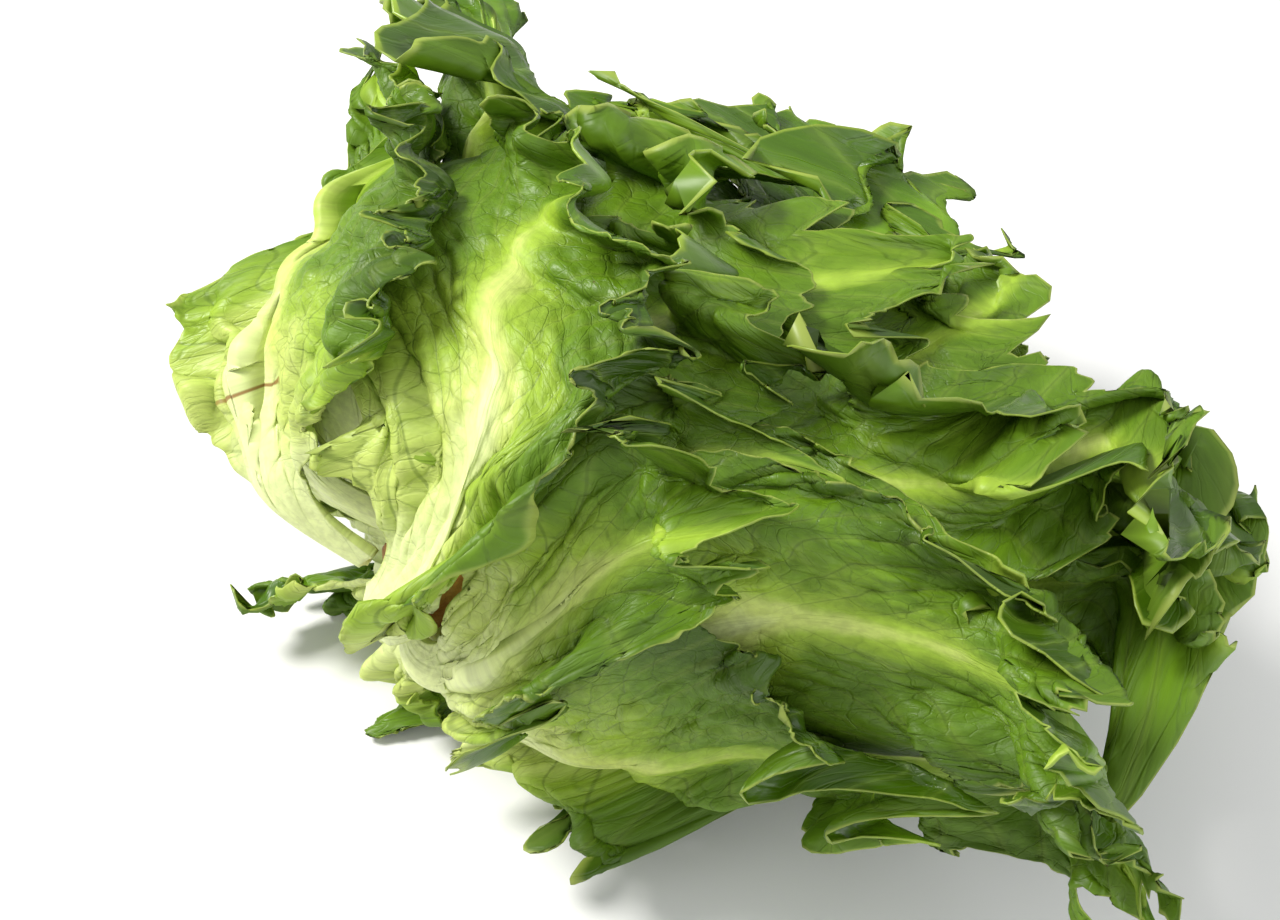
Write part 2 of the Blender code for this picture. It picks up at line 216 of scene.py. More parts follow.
def folds(s, theta, h, fine):
    """Waves that neighbouring leaves share, in layer numbers."""
    size = 0.046 * smooth((s - 0.25) / 0.6) * np.minimum(1.0, h / 0.35)
    wave = np.sin(5 * theta + 6 * s + 2.5 * h + 0.4)
    wave = wave + 0.7 * np.sin(8 * theta - 9 * s + 4.0 * h + 2.0)
    wave = wave + 0.3 * np.sin(13 * theta + 14 * s - 5.0 * h + 4.1)
    if fine:
        late = smooth((s - 0.35) / 0.4)
        bend = 1.3 * np.sin(5 * s + 3 * theta)
        wave = wave + late * 0.80 * np.sin(17 * theta - 21 * s + 7.0 * h + 1.1 + bend)
        bend = 1.1 * np.sin(4 * theta - 7 * s)
        wave = wave + late * 0.55 * np.sin(23 * theta + 34 * s + 9.0 * h + 2.9 + bend)
    return size * wave


def place(s, theta, h, fine=False):
    """A point of the lying head, in metres: x along its axis, z up from the table."""
    h = np.maximum(h + folds(s, theta, h, fine), 0.0)
    x, r = line_point(s, h)
    far = smooth((x - 0.005) / 0.15) * smooth((r - 0.012) / 0.060)
    top = 1.0 - TOP_SAG * far
    bottom = 1.0 - TABLE_PRESS * far
    up = np.cos(theta)
    tall = 0.5 * (top + bottom) + 0.5 * (top - bottom) * np.tanh(2.2 * up)
    spread = SIDE_SPREAD + FAR_SIDE_SPREAD * smooth((x - 0.03) / 0.12) * smooth(np.sin(theta) / 0.6)
    y = r * np.sin(theta) * (1.0 + spread * far)
    z = r * up * tall
    below = np.maximum(-z - STEM_RADIUS, 0.0)
    room = TABLE_DEPTH - STEM_RADIUS
    z = np.where(below > 0.0, -STEM_RADIUS - room * (1.0 - np.exp(-below / room)), z)
    clear = smooth((r - 0.012) / 0.030)
    skew = np.where(z > 0.0, SKEW_TALL[0], SKEW_TALL[1])
    sheared = SKEW_SIDE * (1.0 - SKEW_SIDE_FADE * smooth((x - 0.03) / 0.12))
    sheared = sheared * np.where(y > 0.0, 0.30 + 0.70 * smooth((z + 0.035) / 0.06), 1.0)
    y = y * (1.0 - NEAR_SIDE_TUCK * (1.0 - smooth((x - 0.05) / 0.10)) * smooth((-y - 0.017) / 0.03))
    forward = skew * (np.sqrt(z * z + 0.0004) - 0.02)
    forward = forward - sheared * SKEW_SIDE_DEPTH * np.tanh(y / SKEW_SIDE_DEPTH)
    x = x + clear * forward
    return np.stack([x, y, z + AXIS_HEIGHT], axis=-1)


def layer_scale(s, theta, h):
    """Metres from layer to layer, measured square to them, per layer number."""
    e = 1e-3
    low = np.maximum(h - e, 0.0)
    out = (place(s, theta, h + e) - place(s, theta, low)) / (h + e - low)[..., None]
    along = place(s + e, theta, h) - place(s - e, theta, h)
    across = place(s, theta + e, h) - place(s, theta - e, h)
    normal = np.cross(along, across)
    normal = normal / np.maximum(np.linalg.norm(normal, axis=-1, keepdims=True), 1e-12)
    return np.maximum(np.abs((out * normal).sum(-1)), 0.01)


class Leaf:
    def __init__(self, name, bearing, tip_bearing, length, plus, minus, levels, foot, rib, rib_width):
        self.name = name
        self.bearing = math.radians(bearing)
        self.sweep = math.radians(tip_bearing - bearing)
        self.length = length / REACH
        self.plus, self.minus = plus, minus
        self.levels = levels
        self.foot, self.rib, self.rib_width = foot, rib, rib_width
        self.layer = self.over = None

    def half_width(self, v, side):
        widest = np.where(side < 0, self.minus, self.plus)
        opened = self.foot + (widest - self.foot) * smooth((v - 0.06) / 0.56)
        return opened - TIP_NARROWING * widest * smooth((v - 0.62) / 0.44)

    def middle(self, s):
        return self.bearing + self.sweep * smooth(s / (0.75 * self.length))

    def read(self, table, s, theta):
        row = s / LAY_END * (LAY_ROWS - 1)
        column = np.mod(theta, 2 * math.pi) / (2 * math.pi) * LAY_COLUMNS
        return sample(table, row, column, wrap=True)

    def level(self, s, theta):
        return self.read(self.layer, s, theta)

    def axis_distance(self, s):
        return np.maximum(line_point(s, self.level(s, self.middle(s)))[1], 0.008)

    def thickness(self, v, lateral, blade=BLADE):
        rib = self.rib * (1.0 - v) ** 1.2 + 0.0003
        width = self.rib_width * (1.0 - 0.75 * v)
        return blade + rib * np.exp(-(lateral / width) ** 2)


def spread_max(field, rows, columns):
    """The greatest value within so many rows and columns."""
    out = field.copy()
    for shift in range(-columns, columns + 1):
        out = np.maximum(out, np.roll(field, shift, axis=1))
    field = out.copy()
    for shift in range(1, rows + 1):
        out[shift:] = np.maximum(out[shift:], field[:-shift])
        out[:-shift] = np.maximum(out[:-shift], field[shift:])
    return out


def blur(field, rows, columns):
    """A soft average over so many rows and columns."""
    across = np.hanning(2 * columns + 3)[1:-1]
    along = np.hanning(2 * rows + 3)[1:-1]
    out = sum(w * np.roll(field, i - columns, axis=1) for i, w in enumerate(across)) / across.sum()
    padded = np.vstack([np.repeat(out[:1], rows, 0), out, np.repeat(out[-1:], rows, 0)])
    return sum(w * padded[i:i + field.shape[0]] for i, w in enumerate(along)) / along.sum()


def covered_by(leaf, s, theta):
    """Leaf coordinates of the laying grid and which of its cells the leaf covers."""
    turn = np.mod(theta - leaf.middle(s) + math.pi, 2 * math.pi) - math.pi
    lateral = turn * leaf.axis_distance(s)
    v = np.clip(s / leaf.length, 0.0, 1.0)
    for _ in range(4):
        u = np.clip(lateral / leaf.half_width(v, lateral), -1.2, 1.2)
        v = np.clip(s / leaf.length + TIP_ROUNDING * u * u * v * v, 0.0, 1.3)
    u = lateral / leaf.half_width(np.clip(v, 0.0, 1.0), lateral)
    return lateral, v, (np.abs(u) < 1.06) & (v < 1.03)


def lay(leaves):
    """Lays each leaf over those inside it, heart first, and notes the layer of what lies over it."""
    s = np.linspace(0.0, LAY_END, LAY_ROWS)[:, None] * np.ones((1, LAY_COLUMNS))
    theta = np.linspace(0.0, 2 * math.pi, LAY_COLUMNS, endpoint=False)[None, :] * np.ones((LAY_ROWS, 1))
    heap = np.full(s.shape, 0.012)
    masks = []
    for leaf in leaves:
        under = np.maximum(blur(spread_max(heap, 3, 7), 6, 12), heap)
        gap = NEST_GAP + (OPEN_GAP - NEST_GAP) * smooth(s / 0.35)
        floor = under + gap / layer_scale(s, theta, under)
        root, low, mid, high = leaf.levels
        want = low + (mid - low) * smooth((s - 0.05) / 0.35) + (high - mid) * smooth((s - 0.4) / 0.5)
        layer = floor + soft_over(want - floor, 0.02)
        begin = np.maximum(floor, root)
        leaf.layer = np.where(s < 0.24, begin + (layer - begin) * smooth(s / 0.24), layer)
        lateral, v, covered = covered_by(leaf, s, theta)
        thick = leaf.thickness(np.clip(v, 0.0, 1.0), lateral)
        top = leaf.layer + thick / layer_scale(s, theta, leaf.layer)
        heap = np.where(covered, np.maximum(heap, top), heap)
        masks.append(covered)
    ceiling = np.full(s.shape, 3.0)
    for leaf, covered in zip(reversed(leaves), reversed(masks)):
        leaf.over = -spread_max(-ceiling, 1, 3)
        ceiling = np.where(covered, np.minimum(ceiling, leaf.layer), ceiling)
    return leaves


def head_leaves():
    """The leaves from the heart outwards: the inner ones follow the golden turn."""
    leaves = []
    for i in range(INNER_LEAVES):
        t = i / (INNER_LEAVES - 1)
        bearing = 40.0 + GOLDEN_TURN * i
        sweep = 14.0 + 10.0 * math.sin(2.1 * i)
        half = 0.028 + 0.032 * t ** 0.7
        level = 0.02 + 0.66 * t
        length = 0.130 + 0.056 * smooth(t / 0.4) - 0.042 * smooth((t - 0.35) / 0.65)
        length = length + 0.012 * math.sin(1.7 * i)
        levels = (0.0, level, level + 0.04 * t, level + 0.10 * t)
        leaves.append(Leaf(f"inner_{i + 1:02d}", bearing, bearing + sweep, length,
                           half, half, levels, 0.0040 + 0.0050 * t, 0.0002 + 0.0010 * t, 0.004 + 0.004 * t))
    for name, bearing, tip, length, plus, minus, levels, rib in OUTER_LEAVES:
        leaves.append(Leaf(name, bearing, tip, length, plus, minus, levels,
                           OUTER_FOOT, rib, OUTER_RIB_WIDTH))
    return lay(leaves)


# ------------------------------------------------------------------ fine leaves

def ripples(rng, x, y, wave_length, count=6):
    """Smooth noise of about the given wave length, between -1 and 1."""
    total = 0.0
    for _ in range(count):
        turn = rng.uniform(0.0, 2 * math.pi)
        k = 2 * math.pi / wave_length * rng.uniform(0.7, 1.4)
        total = total + np.sin(k * (x * math.cos(turn) + y * math.sin(turn)) + rng.uniform(0.0, 6.28))
    return total / count ** 0.5 / 1.4


def grid_tangents(points):
    """Unit directions across each leaf and square to it, at every grid point."""
    across = np.gradient(points, axis=1)
    along = np.gradient(points, axis=0)
    across /= np.maximum(np.linalg.norm(across, axis=-1, keepdims=True), 1e-9)
    normal = np.cross(across, along)
    normal /= np.maximum(np.linalg.norm(normal, axis=-1, keepdims=True), 1e-9)
    return across, normal


def edge_spaced(count):
    """Numbers from -1 to 1, closer together towards both ends."""
    t = np.linspace(-1.0, 1.0, count)
    return 1.25 * t - 0.25 * t ** 3


def wave_along(run, radius, rng, length, sway):
    """Phase of a ruffle of the given wave length that wanders along the margin."""
    wander = sway * ripples(rng, run, radius, 2.2 * length, 4)
    return 2 * math.pi * run / length + wander + rng.uniform(0.0, 6.28)


def fine_leaf(leaf, number, nu, nv):
    """Points and surface attributes of a fine leaf, as arrays of rows along it and columns across."""
    rng = np.random.default_rng(400 + number)
    u = edge_spaced(nu)[None, :] * np.ones((nv, 1))
    v = 1.0 - (1.0 - np.linspace(0.0, 1.0, nv)[:, None]) ** 1.12 * np.ones((1, nu))
    size = leaf.length * REACH

    # a ragged outline: lobes and small blunt teeth, at the sides and at the tip
    side = np.where(u < 0, 7.0, 0.0)
    sway = 0.055 * ripples(rng, v * size, side, 0.036, 4) + 0.016 * ripples(rng, v * size, side, 0.0085, 4)
    at_end = u * size * 0.6
    reach = 0.045 * ripples(rng, at_end, 0.0 * u, 0.036, 4) + 0.007 * ripples(rng, at_end, 0.0 * u, 0.008, 4)
    half = leaf.half_width(v, u)
    lateral = half * u * (1.0 + sway * np.abs(u) ** 3 * smooth((v - 0.10) / 0.2))
    s = leaf.length * (v * (1.0 + reach * v ** 5) - TIP_ROUNDING * u * u * v * v)
    theta = leaf.middle(s) + WRAP * np.tanh(lateral / leaf.axis_distance(s) / WRAP)
    level = leaf.level(s, theta)
    scale = layer_scale(s, theta, level)

    # distance from the margin, the place along it, and the share of it that lies at the tip
    from_side = half * (1.0 - np.abs(u))
    from_tip = (1.0 - v) * size
    margin = np.minimum(from_side, from_tip)
    at_tip = smooth(0.5 + (from_side - from_tip) / 0.03)
    radius = np.hypot(lateral, s * REACH + 0.012)
    run = np.arctan2(lateral, s * REACH + 0.012) * 0.80 * size
    blade = smooth((v - 0.12) / 0.30)
    wide = smooth(1.0 - margin / WIDE_RUFFLE[2]) ** 1.2 * smooth((v - 0.14) / 0.36)
    mid = smooth(1.0 - margin / MID_RUFFLE[2]) * blade
    slim = smooth(1.0 - margin / SMALL_RUFFLE[2]) * blade
    phase = wave_along(run, radius, rng, WIDE_RUFFLE[1], 2.4)
    phase_mid = wave_along(run, radius, rng, MID_RUFFLE[1], 2.0)
    phase_small = wave_along(run, radius, rng, SMALL_RUFFLE[1], 1.6)
    height = np.clip(0.70 + 0.55 * ripples(rng, run, radius, 0.070, 4), 0.15, 1.4)
    lift = WIDE_RUFFLE[0] * wide * height * (0.5 + 0.5 * np.sin(phase))
    lift = lift + MID_RUFFLE[0] * mid * (0.5 + 0.5 * np.sin(phase_mid)) * (0.6 + 0.4 * height)
    lift = lift + SMALL_RUFFLE[0] * slim * (0.5 + 0.5 * np.sin(phase_small))
    lift = lift + 0.0030 * smooth((v - 0.25) / 0.4) * (0.6 + ripples(rng, lateral, s * REACH, 0.034, 5))

    # margins that roll outwards
    bent = np.clip(0.30 + 0.9 * ripples(rng, run, radius, 0.085, 4), 0.0, 1.0) * blade / CURL_RADIUS
    past = np.maximum(CURL_REACH - margin, 0.0)
    turn = past * bent
    curl_lift = past * np.where(turn > 1e-3, (1.0 - np.cos(turn)) / np.maximum(turn, 1e-3), 0.5 * turn)
    curl_back = past * (1.0 - np.where(turn > 1e-3, np.sin(turn) / np.maximum(turn, 1e-3), 1.0))
    lift = lift + curl_lift

    # held between the leaves on either side, though a few ruffles still pass through the next leaf
    thin = leaf.thickness(v, lateral, SKIN)
    high = leaf.read(leaf.over, s, theta) - (thin + 0.0004) / scale
    flat = level
    level = level + lift / scale
    level = np.where(level > high - 0.02, high - soft_over(high - level, 0.006), level)
    level = np.maximum(level, flat - 0.004)
    free = smooth((level - flat) * scale / np.maximum(lift, 1e-4)) * smooth((high - flat) * scale / 0.006)
    points = place(s, theta, np.clip(level, 0.0, OUTERMOST), True)

    # overhanging ruffles, rolled margins, and a blade that puffs up between the veins
    across, normal = grid_tangents(points)
    along = np.cross(normal, across)
    swing = 0.22 * WIDE_RUFFLE[0] * wide * height * np.sin(2.0 * phase)
    swing = swing + 0.28 * MID_RUFFLE[0] * mid * np.sin(2.0 * phase_mid)
    back = -np.sign(lateral) * curl_back * (1.0 - at_tip)
    points = points + across * ((swing + back) * free)[..., None]
    points = points + along * (curl_back * at_tip * free)[..., None]
    course = vein_course(lateral, s * REACH, rng)
    puff = smooth(np.abs(lateral) / (1.5 * leaf.rib_width)) * smooth((v - 0.10) / 0.2)
    puff = puff * smooth((high - level) * scale / 0.004)
    pillow = CREASE * np.abs(np.sin(math.pi * course)) ** 0.6
    pillow = pillow + 0.0007 * ripples(rng, lateral, s * REACH, 0.011, 7)
    pillow = pillow + 0.0004 * ripples(rng, lateral, s * REACH, 0.0055, 6)
    points = points - normal * (puff * pillow)[..., None]

    # tone: 0 pale rib and foot, 1 deep green margin
    rib = np.exp(-(lateral / (leaf.rib_width * (1.20 - 0.85 * v))) ** 2)
    green = 0.62 * smooth((v - 0.12) / 0.80)
    green = green + 0.38 * smooth(np.abs(lateral) / 0.060) * smooth((v - 0.15) / 0.5)
    tone = np.clip(green + 0.06 * ripples(rng, lateral, s * REACH, 0.04, 5), 0.0, 1.0)
    tone = tone * (1.0 - rib * (1.0 - 0.6 * v))
    return {"points": points, "thick": thin, "tone": tone, "rib": rib, "course": course, "margin": margin,
            "x": lateral, "y": s * REACH, "z": 0.0 * s + LEAF_APART * number}


def vein_course(x, y, rng):
    """Whole numbers lie on the side veins, which leave the rib in near-parallel curves."""
    far = np.abs(x)
    start = np.where(x > 0, rng.uniform(0.0, 1.0), rng.uniform(0.0, 1.0))
    return (y - 1.25 * far ** 0.90 + 0.0030 * ripples(rng, x, y, 0.045, 4)) / VEIN_STEP + start


def grid_mesh(name, fine):
    """A mesh of one fine leaf, with the surface values its material reads."""
    nv, nu = fine["tone"].shape
    mesh = bpy.data.meshes.new(name)
    index = np.arange(nv * nu).reshape(nv, nu)
    quads = np.stack([index[:-1, :-1], index[:-1, 1:], index[1:, 1:], index[1:, :-1]], axis=-1).reshape(-1, 4)
    mesh.vertices.add(nv * nu)
    mesh.vertices.foreach_set("co", fine["points"].astype(np.float32).ravel())
    mesh.loops.add(quads.size)
    mesh.loops.foreach_set("vertex_index", quads.astype(np.int32).ravel())
    mesh.polygons.add(len(quads))
    mesh.polygons.foreach_set("loop_start", np.arange(0, quads.size, 4, dtype=np.int32))
    mesh.polygons.foreach_set("loop_total", np.full(len(quads), 4, dtype=np.int32))
    mesh.update(calc_edges=True)
    mesh.validate()
    for key in ("tone", "rib", "course", "margin"):
        layer = mesh.attributes.new(key, "FLOAT", "POINT")
        layer.data.foreach_set("value", fine[key].astype(np.float32).ravel())
    where = mesh.attributes.new("leaf", "FLOAT_VECTOR", "POINT")
    flat = np.stack([fine["x"], fine["y"], fine["z"]], axis=-1).astype(np.float32)
    where.data.foreach_set("vector", flat.ravel())
    mesh.shade_smooth()
    return mesh


# ------------------------------------------------------------------ materials

def shader_kit(name):
    """A material and two helpers that add and link its nodes."""
    material = bpy.data.materials.new(name)
    material.use_nodes = True
    tree = material.node_tree
    tree.nodes.clear()

    def node(kind, **values):
        item = tree.nodes.new(kind)
        for key, value in values.items():
            if key.startswith("in_"):
                item.inputs[int(key[3:])].default_value = value
            else:
                setattr(item, key, value)
        return item

    def link(a, b):
        tree.links.new(a, b)

    return material, node, link


def ramp(node, stops):
    item = node("ShaderNodeValToRGB")
    item.color_ramp.interpolation = "EASE"
    elements = item.color_ramp.elements
    while len(elements) < len(stops):
        elements.new(0.5)
    for element, (at, colour) in zip(elements, stops):
        element.position = at
        element.color = (*colour, 1.0)
    return item


def linear(r, g, b):
    def one(c):
        c = c / 255.0
        return c / 12.92 if c <= 0.04045 else ((c + 0.055) / 1.055) ** 2.4
    return (one(r), one(g), one(b))


def mix(node, link, blend, factor, a, b):
    item = node("ShaderNodeMix", data_type="RGBA", blend_type=blend)
    if isinstance(factor, float):
        item.inputs["Factor"].default_value = factor
    else:
        link(factor, item.inputs["Factor"])
    for socket, value in ((item.inputs[6], a), (item.inputs[7], b)):
        if isinstance(value, tuple):
            socket.default_value = (*value, 1.0)
        else:
            link(value, socket)
    return item.outputs[2]


def math_node(node, link, operation, a, b=None, clamp=False):
    item = node("ShaderNodeMath", operation=operation, use_clamp=clamp)
    for index, value in enumerate((a, b)):
        if value is None:
            continue
        if isinstance(value, (int, float)):
            item.inputs[index].default_value = value
        else:
            link(value, item.inputs[index])
    return item.outputs[0]


def smooth_range(node, link, value, low, high, to_low, to_high):
    item = node("ShaderNodeMapRange", interpolation_type="SMOOTHSTEP")
    for socket, number in zip(("From Min", "From Max", "To Min", "To Max"), (low, high, to_low, to_high)):
        item.inputs[socket].default_value = number
    link(value, item.inputs["Value"])
    return item.outputs[0]


def leaf_material(name, stops, roughness, glow, vein_colour, vein_share, rim_colour, shine):
    """Leaf tissue: tones, mottling, side veins, a net of small veins, pale rim and light through it."""
    material, node, link = shader_kit(name)
    place_on_leaf = node("ShaderNodeAttribute", attribute_name="leaf").outputs["Vector"]
    tone = node("ShaderNodeAttribute", attribute_name="tone").outputs["Fac"]
    rib = node("ShaderNodeAttribute", attribute_name="rib").outputs["Fac"]
    course = node("ShaderNodeAttribute", attribute_name="course").outputs["Fac"]
    margin = node("ShaderNodeAttribute", attribute_name="margin").outputs["Fac"]

    def noise(scale, detail=4.0, rough=0.55):
        item = node("ShaderNodeTexNoise")
        item.inputs["Scale"].default_value = scale
        item.inputs["Detail"].default_value = detail
        item.inputs["Roughness"].default_value = rough
        link(place_on_leaf, item.inputs["Vector"])
        return item.outputs["Fac"]

    def calc(operation, a, b=None, clamp=False):
        return math_node(node, link, operation, a, b, clamp)

    mottle = noise(34.0)
    patches = noise(75.0, 5.0, 0.62)
    grain = noise(420.0, 3.0)
    blotch = calc("ADD", calc("MULTIPLY", calc("SUBTRACT", mottle, 0.5), 0.50),
                  calc("MULTIPLY", calc("SUBTRACT", patches, 0.5), 0.36))
    base = ramp(node, stops)
    blotched = calc("MULTIPLY", blotch, smooth_range(node, link, tone, 0.0, 0.3, 0.15, 1.0))
    link(calc("ADD", tone, blotched, True), base.inputs[0])
    colour = base.outputs[0]

    # side veins, and a net of finer ones between them
    off_course = calc("ABSOLUTE", calc("SUBTRACT", calc("FRACT", calc("ADD", course, 0.5)), 0.5))
    side = smooth_range(node, link, off_course, 0.012, 0.055, 1.0, 0.0)
    halo = smooth_range(node, link, off_course, 0.0, 0.22, 1.0, 0.0)
    warp = node("ShaderNodeVectorMath", operation="ADD")
    shake = node("ShaderNodeTexNoise")
    shake.inputs["Scale"].default_value = 110.0
    link(place_on_leaf, shake.inputs["Vector"])
    small = node("ShaderNodeVectorMath", operation="SCALE")
    small.inputs["Scale"].default_value = 0.0055
    link(shake.outputs["Color"], small.inputs[0])
    link(place_on_leaf, warp.inputs[0])
    link(small.outputs[0], warp.inputs[1])
    lines = []
    for scale, width in ((105.0, 0.035), (330.0, 0.060)):
        net = node("ShaderNodeTexVoronoi", feature="DISTANCE_TO_EDGE")
        net.inputs["Scale"].default_value = scale
        link(warp.outputs[0], net.inputs["Vector"])
        lines.append(smooth_range(node, link, net.outputs["Distance"], 0.0, width, 1.0, 0.0))
    blade = calc("SUBTRACT", 1.0, rib, True)
    net_mask = calc("ADD", calc("MULTIPLY", lines[0], 0.55), calc("MULTIPLY", lines[1], 0.22))
    net_mask = calc("MULTIPLY", net_mask, blade)
    paler = calc("MULTIPLY", calc("MULTIPLY", halo, blade), 0.20 * vein_share)
    colour = mix(node, link, "MIX", paler, colour, linear(*PALE_VEIN))
    colour = mix(node, link, "MIX", calc("MULTIPLY", net_mask, 0.8 * vein_share), colour, vein_colour)
    darker = calc("MULTIPLY", calc("MULTIPLY", side, blade), 0.75 * vein_share)
    colour = mix(node, link, "MIX", darker, colour, vein_colour)
    rim = smooth_range(node, link, margin, 0.0001, 0.0008, 0.55, 0.0)
    colour = mix(node, link, "MIX", rim, colour, rim_colour)
    grained = smooth_range(node, link, grain, 0.3, 0.7, 0.88, 1.08)
    colour = mix(node, link, "MULTIPLY", 1.0, colour, grained)

    # a few tiny brown specks
    specks = node("ShaderNodeTexVoronoi", feature="F1")
    specks.inputs["Scale"].default_value = 75.0
    link(place_on_leaf, specks.inputs["Vector"])
    dot = smooth_range(node, link, specks.outputs["Distance"], 0.020, 0.045, 0.75, 0.0)
    speckled = calc("MULTIPLY", dot, calc("GREATER_THAN", noise(17.0, 1.0), 0.60))
    colour = mix(node, link, "MIX", speckled, colour, linear(*SPECK))

    # the brown crease across the rib of the outermost leaf
    apart = node("ShaderNodeSeparateXYZ")
    link(place_on_leaf, apart.inputs["Vector"])
    wander = calc("MULTIPLY", calc("SUBTRACT", noise(160.0, 2.0), 0.5), CREASE_WANDER)
    off_crease = calc("ABSOLUTE", calc("SUBTRACT", calc("ADD", apart.outputs["Y"], wander), BROWN_CREASE_AT))
    brown = smooth_range(node, link, off_crease, 0.0003, 0.0010, 0.85, 0.0)
    near_rib = smooth_range(node, link, calc("ABSOLUTE", apart.outputs["X"]), 0.009, 0.014, 1.0, 0.0)
    outermost = calc("GREATER_THAN", apart.outputs["Z"], CREASED_LEAF)
    brown = calc("MULTIPLY", calc("MULTIPLY", brown, near_rib), outermost)
    colour = mix(node, link, "MIX", brown, colour, linear(*CREASE_BROWN))

    # relief: small blisters, sunken veins, and fibres along the rib
    stretch = node("ShaderNodeVectorMath", operation="MULTIPLY")
    stretch.inputs[1].default_value = (820.0, 26.0, 1.0)
    link(place_on_leaf, stretch.inputs[0])
    fibres = node("ShaderNodeTexNoise")
    fibres.inputs["Scale"].default_value = 1.0
    fibres.inputs["Detail"].default_value = 3.0
    link(stretch.outputs[0], fibres.inputs["Vector"])
    relief = calc("ADD", calc("MULTIPLY", patches, 1.6), calc("MULTIPLY", noise(210.0, 4.0), 0.9))
    relief = calc("MULTIPLY", calc("SUBTRACT", relief, calc("MULTIPLY", net_mask, 0.5)), blade)
    relief = calc("ADD", relief, calc("MULTIPLY", fibres.outputs["Fac"], calc("MULTIPLY", rib, 0.9)))
    bump = node("ShaderNodeBump")
    bump.inputs["Strength"].default_value = 0.60
    bump.inputs["Distance"].default_value = 0.0011
    link(relief, bump.inputs["Height"])

    skin = node("ShaderNodeBsdfPrincipled")
    skin.inputs["Specular IOR Level"].default_value = shine
    link(colour, skin.inputs["Base Color"])
    uneven = smooth_range(node, link, patches, 0.3, 0.7, roughness - 0.08, roughness + 0.14)
    link(uneven, skin.inputs["Roughness"])
    link(bump.outputs[0], skin.inputs["Normal"])
    through = node("ShaderNodeBsdfTranslucent")
    link(mix(node, link, "MULTIPLY", 0.5, colour, linear(*THROUGH_LEAF)), through.inputs["Color"])
    link(bump.outputs[0], through.inputs["Normal"])
    both = node("ShaderNodeMixShader")
    link(smooth_range(node, link, rib, 0.0, 1.0, glow, 0.4 * glow), both.inputs[0])
    link(skin.outputs[0], both.inputs[1])
    link(through.outputs[0], both.inputs[2])
    out = node("ShaderNodeOutputMaterial")
    link(both.outputs[0], out.inputs["Surface"])
    return material


def stem_material():
    """Cut stem: flesh browned by air, in soft clouds."""
    material, node, link = shader_kit("stem_flesh")
    where = node("ShaderNodeTexCoord").outputs["Object"]
    cloud = node("ShaderNodeTexNoise")
    cloud.inputs["Scale"].default_value = 160.0
    cloud.inputs["Detail"].default_value = 5.0
    link(where, cloud.inputs["Vector"])
    colours = ramp(node, [(0.0, linear(96, 48, 4)), (0.38, linear(146, 89, 14)),
                          (0.62, linear(176, 128, 52)), (1.0, linear(214, 196, 120))])
    link(cloud.outputs["Fac"], colours.inputs[0])
    fine = node("ShaderNodeTexNoise")
    fine.inputs["Scale"].default_value = 900.0
    link(where, fine.inputs["Vector"])
    bump = node("ShaderNodeBump")
    bump.inputs["Strength"].default_value = 0.6
    bump.inputs["Distance"].default_value = 0.0008
    link(fine.outputs["Fac"], bump.inputs["Height"])
    rough = node("ShaderNodeMapRange")
    rough.inputs["To Min"].default_value = 0.50
    rough.inputs["To Max"].default_value = 0.80
    link(cloud.outputs["Fac"], rough.inputs["Value"])
    skin = node("ShaderNodeBsdfPrincipled")
    link(colours.outputs[0], skin.inputs["Base Color"])
    link(rough.outputs[0], skin.inputs["Roughness"])
    link(bump.outputs[0], skin.inputs["Normal"])
    out = node("ShaderNodeOutputMaterial")
    link(skin.outputs[0], out.inputs["Surface"])
    return material


# ------------------------------------------------------------------ pieces

# tones of a leaf from its pale rib to its deep green margin
OUTSIDE_TONES = [(0.0, linear(226, 236, 166)), (0.14, linear(204, 220, 116)), (0.34, linear(160, 192, 58)),
                 (0.62, linear(104, 142, 24)), (1.0, linear(70, 102, 8))]
INSIDE_TONES = [(0.0, linear(228, 238, 160)), (0.14, linear(176, 204, 78)), (0.34, linear(108, 150, 18)),
                (0.62, linear(76, 114, 4)), (1.0, linear(50, 80, 0))]


def near_box(points):
    """Presses far ruffles back softly, to within BOX_ROOM of the head's box and above the table."""
    low = np.array(cad_box[0]) - BOX_ROOM
    high = np.array(cad_box[1]) + BOX_ROOM
    low[2] = ABOVE_TABLE
    points = high - soft_over(high - points, 0.004)
    return low + soft_over(points - low, 0.0015)


